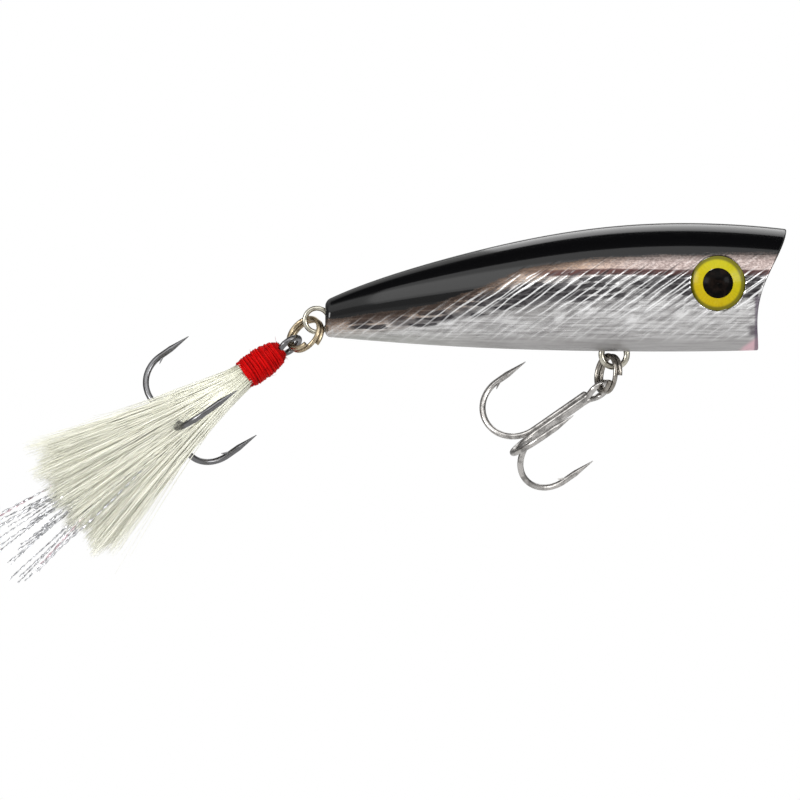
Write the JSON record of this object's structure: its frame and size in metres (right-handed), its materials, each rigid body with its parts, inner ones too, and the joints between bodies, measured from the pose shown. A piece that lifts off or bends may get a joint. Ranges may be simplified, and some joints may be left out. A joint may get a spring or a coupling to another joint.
{
  "type": "topwater popper lure",
  "caption": "Topwater popper lure: tapered hollow body with a cupped mouth and domed eyes, a belly treble hook, and a rear treble dressed with white hair and silver flash.",
  "frame": {"origin": "centre of the line tie's eye, in the mouth cup on the seam plane", "axes": "+X forward out of the mouth along the body, +Z towards the back, the lure's right side towards -Y"},
  "size_m": [0.112, 0.0195, 0.0512],
  "materials": {
    "body_finish": "glossy foil finish under clear coat: black back, bright silver sides with fine raised hatching, pale belly",
    "hanger_wire": "bright drawn wire",
    "eye_ring": "domed yellow, glossy",
    "eye_pupil": "domed black, glossy",
    "ballast": "plain steel slug",
    "rattle_steel": "polished steel ball",
    "ring_nickel": "bright nickel plate",
    "ring_warm_nickel": "nickel plate worn warm",
    "hook_nickel": "bright nickel plate",
    "binding_thread": "wound red thread, lacquered",
    "dressing_hair": "long creamy white hair",
    "tinsel": "thin twisted silver film"
  },
  "bodies": {
    "body": {"body_half_right": "body_finish", "body_half_left": "body_finish", "line_tie": "hanger_wire", "belly_hanger": "hanger_wire", "tail_hanger": "hanger_wire", "eye_iris_right": "eye_ring", "eye_iris_left": "eye_ring", "eye_pupil_right": "eye_pupil", "eye_pupil_left": "eye_pupil", "tail_ballast": "ballast"},
    "rattle_front": {"rattle_ball_front": "rattle_steel"},
    "rattle_rear": {"rattle_ball_rear": "rattle_steel"},
    "belly_ring": {"belly_split_ring": "ring_nickel"},
    "belly_treble": {"belly_hook_pair": "hook_nickel", "belly_hook_single": "hook_nickel"},
    "tail_ring": {"tail_split_ring": "ring_warm_nickel"},
    "tail_treble": {"tail_hook_pair": "hook_nickel", "tail_hook_single": "hook_nickel", "thread_wrap": "binding_thread", "hackle_upper": "dressing_hair", "hackle_lower": "dressing_hair", "flash_strands": "tinsel"}
  },
  "joints": [
    {"name": "belly_ring_swing", "type": "hinge", "parent": "body", "child": "belly_ring", "pos_m": [-0.0176, 0, -0.0075], "axis": [0, 1, 0], "range_deg": [-38, 8]},
    {"name": "belly_treble_swing", "type": "hinge", "parent": "belly_ring", "child": "belly_treble", "pos_m": [-0.01944, 0.00138, -0.01204], "axis": [0.261, -0.7083, -0.6559], "range_deg": [-3, 60]},
    {"name": "tail_ring_swing", "type": "hinge", "parent": "body", "child": "tail_ring", "pos_m": [-0.05855, 0, -0.0028], "axis": [0, 1, 0], "range_deg": [-3, 45]},
    {"name": "tail_treble_swing", "type": "hinge", "parent": "tail_ring", "child": "tail_treble", "pos_m": [-0.06214, 0.00108, -0.00589], "axis": [0.0406, -0.6747, -0.737], "range_deg": [-12, 62]},
    {"name": "rattle_front_slide", "type": "slide", "parent": "body", "child": "rattle_front", "axis": [1, 0, 0], "range_m": [-0.0045, 0.0035]},
    {"name": "rattle_rear_slide", "type": "slide", "parent": "body", "child": "rattle_rear", "axis": [1, 0, 0], "range_m": [-0.0039, 0.0041]}
  ]
}
